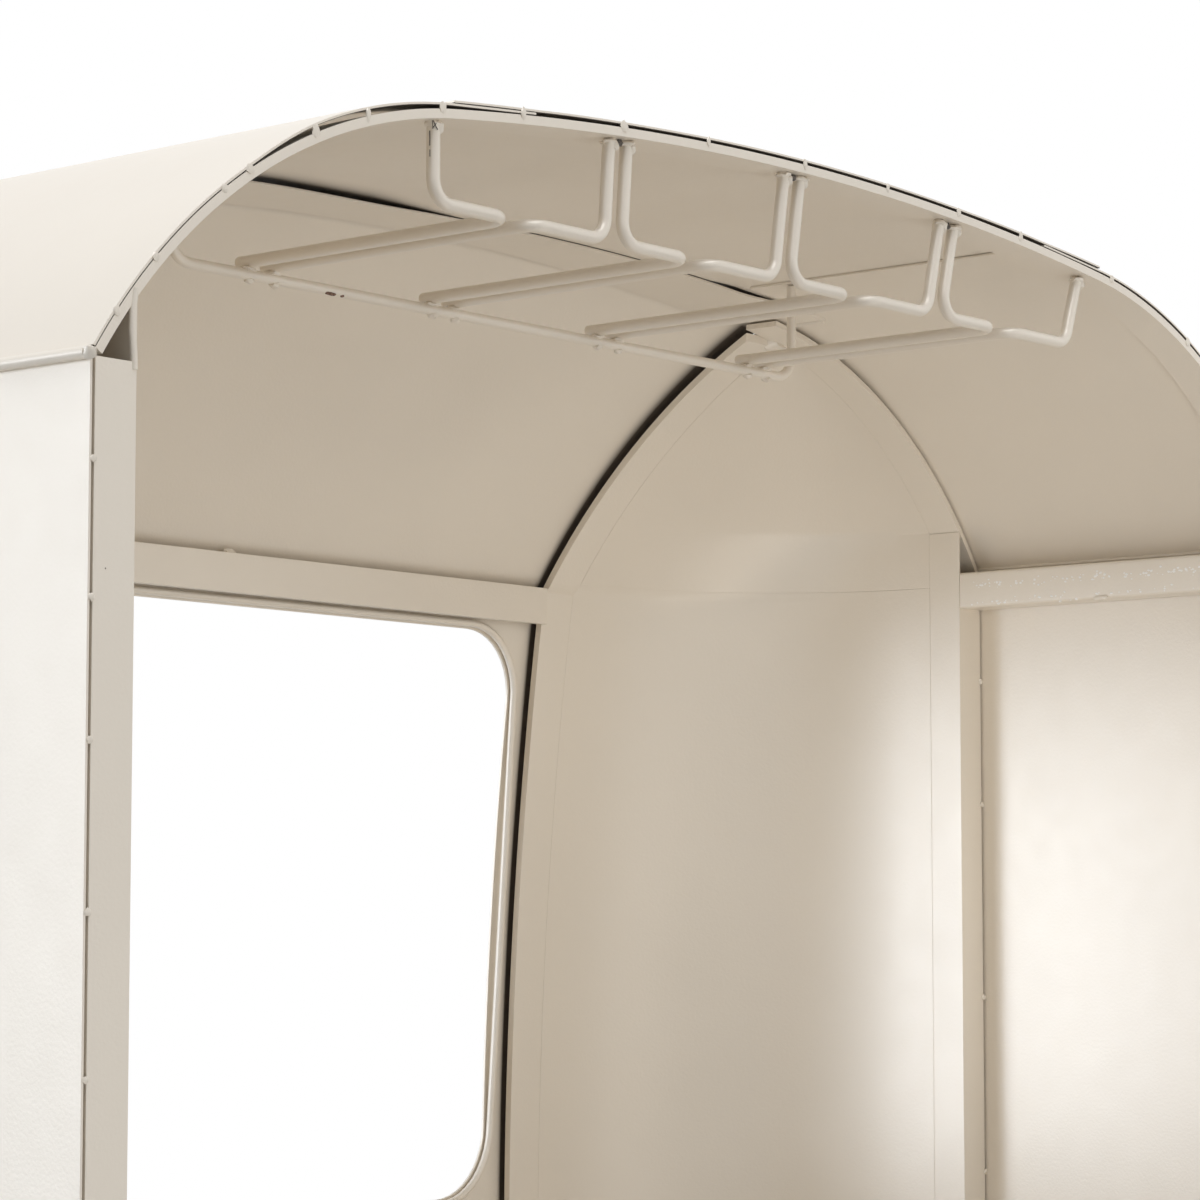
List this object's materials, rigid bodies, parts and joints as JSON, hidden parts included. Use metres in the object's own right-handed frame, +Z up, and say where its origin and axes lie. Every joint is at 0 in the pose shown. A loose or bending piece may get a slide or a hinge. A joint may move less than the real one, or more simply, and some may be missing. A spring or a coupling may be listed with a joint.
{
  "type": "bar cabinet",
  "caption": "Free-standing welded steel bar cabinet shaped like a small van, with an open front, windscreen opening, hanging stemware rack, counter and hinged lower doors.",
  "frame": {"origin": "on the floor, under the middle of the whole box", "axes": "+Z up, -Y towards the open front and the doors, +Y towards the windscreen, X along the front"},
  "size_m": [1.0824, 0.5304, 1.9013],
  "materials": {
    "cream_powder_coat": "satin powder coat with a fine orange-peel texture",
    "black_plastic": "matte"
  },
  "bodies": {
    "cabinet": {"back_post_left": "cream_powder_coat", "back_post_right": "cream_powder_coat", "back_rib_left": "cream_powder_coat", "back_rib_right": "cream_powder_coat", "base_rail_back": "cream_powder_coat", "base_rail_front": "cream_powder_coat", "cabinet_floor": "cream_powder_coat", "corner_panel_left": "cream_powder_coat", "corner_panel_right": "cream_powder_coat", "counter_rail_back": "cream_powder_coat", "counter_rail_front": "cream_powder_coat", "counter_top": "cream_powder_coat", "door_catch": "black_plastic", "front_arch": "cream_powder_coat", "front_post_left": "cream_powder_coat", "front_post_right": "cream_powder_coat", "lower_hinge_post_half_left": "cream_powder_coat", "lower_hinge_post_half_right": "cream_powder_coat", "nose_panel": "cream_powder_coat", "rack_crossbar": "cream_powder_coat", "rack_rail_1": "cream_powder_coat", "rack_rail_2": "cream_powder_coat", "rack_rail_3": "cream_powder_coat", "rack_rail_4": "cream_powder_coat", "rack_rail_5": "cream_powder_coat", "rack_rail_6": "cream_powder_coat", "rack_rail_7": "cream_powder_coat", "rack_rail_8": "cream_powder_coat", "rain_gutter_left": "cream_powder_coat", "rain_gutter_right": "cream_powder_coat", "roof_centre_panel": "cream_powder_coat", "roof_corner_left": "cream_powder_coat", "roof_corner_right": "cream_powder_coat", "roof_shoulder_back": "cream_powder_coat", "roof_shoulder_left": "cream_powder_coat", "roof_shoulder_right": "cream_powder_coat", "shelf": "cream_powder_coat", "side_panel_left": "cream_powder_coat", "side_panel_right": "cream_powder_coat", "side_post_left": "cream_powder_coat", "side_post_right": "cream_powder_coat", "side_rib_left": "cream_powder_coat", "side_rib_right": "cream_powder_coat", "top_rail_left": "cream_powder_coat", "top_rail_right": "cream_powder_coat", "upper_hinge_post_half_left": "cream_powder_coat", "upper_hinge_post_half_right": "cream_powder_coat", "windscreen_header": "cream_powder_coat", "windscreen_panel": "cream_powder_coat", "windscreen_sill": "cream_powder_coat", "windscreen_trim": "cream_powder_coat"},
    "door_left": {"door_left": "cream_powder_coat", "door_handle_left": "cream_powder_coat", "lower_hinge_door_half_left": "cream_powder_coat", "upper_hinge_door_half_left": "cream_powder_coat"},
    "door_right": {"door_right": "cream_powder_coat", "door_handle_right": "cream_powder_coat", "lower_hinge_door_half_right": "cream_powder_coat", "upper_hinge_door_half_right": "cream_powder_coat"}
  },
  "joints": [
    {"name": "door_left_hinge", "type": "hinge", "parent": "cabinet", "child": "door_left", "pos_m": [-0.5066, -0.23655, 0.5], "axis": [0, 0, -1], "range_deg": [0, 110]},
    {"name": "door_right_hinge", "type": "hinge", "parent": "cabinet", "child": "door_right", "pos_m": [0.5066, -0.23655, 0.5], "axis": [0, 0, 1], "range_deg": [0, 110]}
  ]
}
